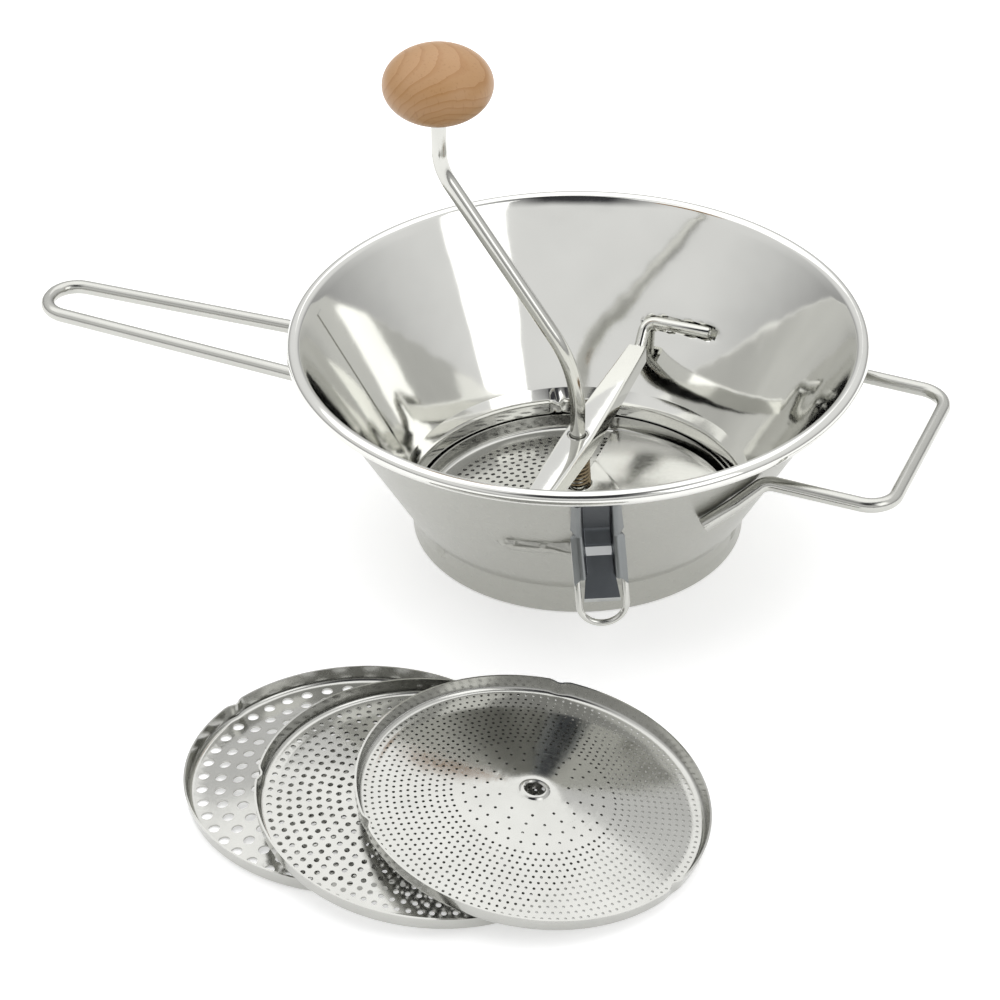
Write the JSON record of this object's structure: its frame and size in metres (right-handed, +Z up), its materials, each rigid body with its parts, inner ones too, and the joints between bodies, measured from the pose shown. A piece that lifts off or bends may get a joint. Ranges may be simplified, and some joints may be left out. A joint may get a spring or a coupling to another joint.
{
  "type": "food mill",
  "caption": "Hand cranked food mill: conical steel bowl with a spring pressed blade over a perforated disc, wire handles, a wooden knob and spare discs.",
  "frame": {"origin": "on the table, under the middle of the whole set's bounding box; the bowl's axis is at x 49.2 mm, y 82.7 mm", "axes": "+Z up along the bowl's axis; -X towards the tip of the long handle; -Y towards the spare discs"},
  "size_m": [0.4068, 0.4116, 0.2173],
  "materials": {
    "spun_steel": "polished steel sheet",
    "handle_wire": "bright plated wire",
    "tinned_disc": "bright tinned sheet",
    "pressed_strap": "pressed steel sheet",
    "plated_wire": "bright plated wire",
    "bar_steel": "polished steel sheet",
    "crank_steel": "bright plated rod",
    "blade_steel": "bright tinned sheet",
    "spring_steel": "oiled spring wire",
    "turned_beech": "waxed beech"
  },
  "bodies": {
    "mill": {"bowl": "spun_steel", "long_handle": "handle_wire", "loop_handle": "handle_wire", "front_hook_strap": "pressed_strap", "front_hook_wire": "plated_wire", "rear_hook_strap": "pressed_strap", "rear_hook_wire": "plated_wire", "crossbar": "bar_steel", "front_prong": "plated_wire", "rear_prong": "plated_wire", "shaft_bush": "bar_steel", "upper_washer": "bar_steel", "spring": "spring_steel", "seated_disc": "tinned_disc", "coarse_disc": "tinned_disc", "medium_disc": "tinned_disc", "fine_disc": "tinned_disc"},
    "lift": {"pressure_washer": "bar_steel"},
    "crank": {"crank_rod": "crank_steel", "blade": "blade_steel", "blade_collar": "crank_steel", "blade_pin": "crank_steel", "knob_retainer": "crank_steel"},
    "grip": {"knob": "turned_beech", "knob_ferrule": "crank_steel"}
  },
  "joints": [
    {"name": "blade_lift", "type": "slide", "parent": "mill", "child": "lift", "axis": [0, 0, 1], "range_m": [0, 0.006], "stiffness_N_per_m": 900, "springref_m": -0.008, "deforming": ["spring"]},
    {"name": "crank_turn", "type": "hinge", "parent": "lift", "child": "crank", "pos_m": [0.04924, 0.08269, 0.02], "axis": [0, 0, 1], "continuous": true},
    {"name": "knob_spin", "type": "hinge", "parent": "crank", "child": "grip", "pos_m": [-0.01226, 0.08269, 0.2015], "axis": [0, 0, 1], "continuous": true}
  ]
}
